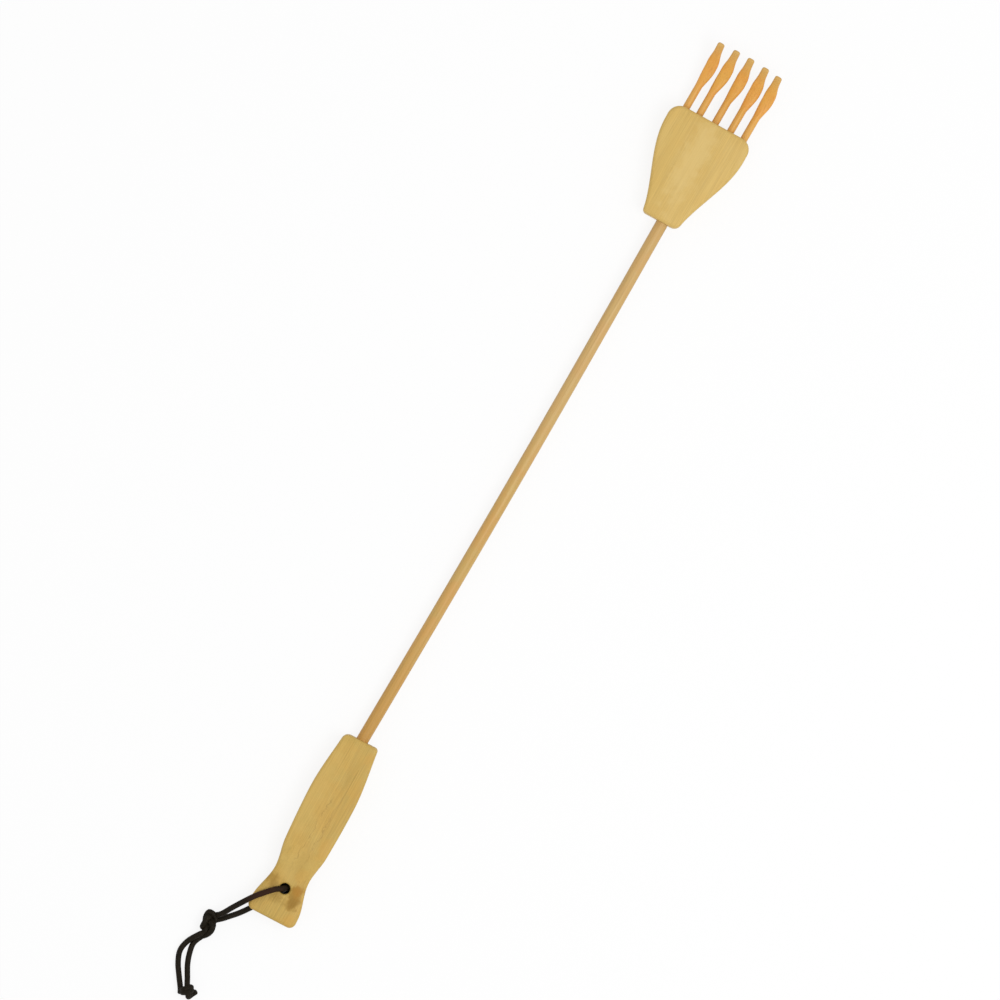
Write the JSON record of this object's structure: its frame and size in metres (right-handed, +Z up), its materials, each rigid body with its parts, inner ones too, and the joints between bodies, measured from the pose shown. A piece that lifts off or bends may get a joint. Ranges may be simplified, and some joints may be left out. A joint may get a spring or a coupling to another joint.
{
  "type": "back scratcher",
  "caption": "Long back scratcher: carved bamboo tines pegged into a flared wooden palm, a round bamboo rod, a fish-shaped wooden handle and a knotted hanging cord.",
  "frame": {"origin": "on the surface it lies on, under the middle of the length and of the width of the wooden pieces, without the cord", "axes": "+X from the tail of the handle to the tips of the tines, +Z up out of the front face, +Y to the left when the tips point away"},
  "size_m": [0.5244, 0.0453, 0.0161],
  "materials": {
    "pale_wood": "satin",
    "bamboo_rod": "satin",
    "bamboo_tine": "satin",
    "cord": "waxed"
  },
  "bodies": {
    "scratcher": {"handle": "pale_wood", "rod": "bamboo_rod", "palm": "pale_wood", "tine_1": "bamboo_tine", "tine_2": "bamboo_tine", "tine_3": "bamboo_tine", "tine_4": "bamboo_tine", "tine_5": "bamboo_tine"},
    "lanyard": {"cord_front_strand": "cord", "cord_back_strand": "cord", "loop_left_strand": "cord", "loop_right_strand": "cord", "cord_knot": "cord", "cord_end_knot": "cord"}
  },
  "joints": [
    {"name": "lanyard_swing", "type": "hinge", "parent": "scratcher", "child": "lanyard", "pos_m": [-0.21892, -0.00595, 0.007], "axis": [0, 0, 1], "range_deg": [-54, 126]}
  ]
}
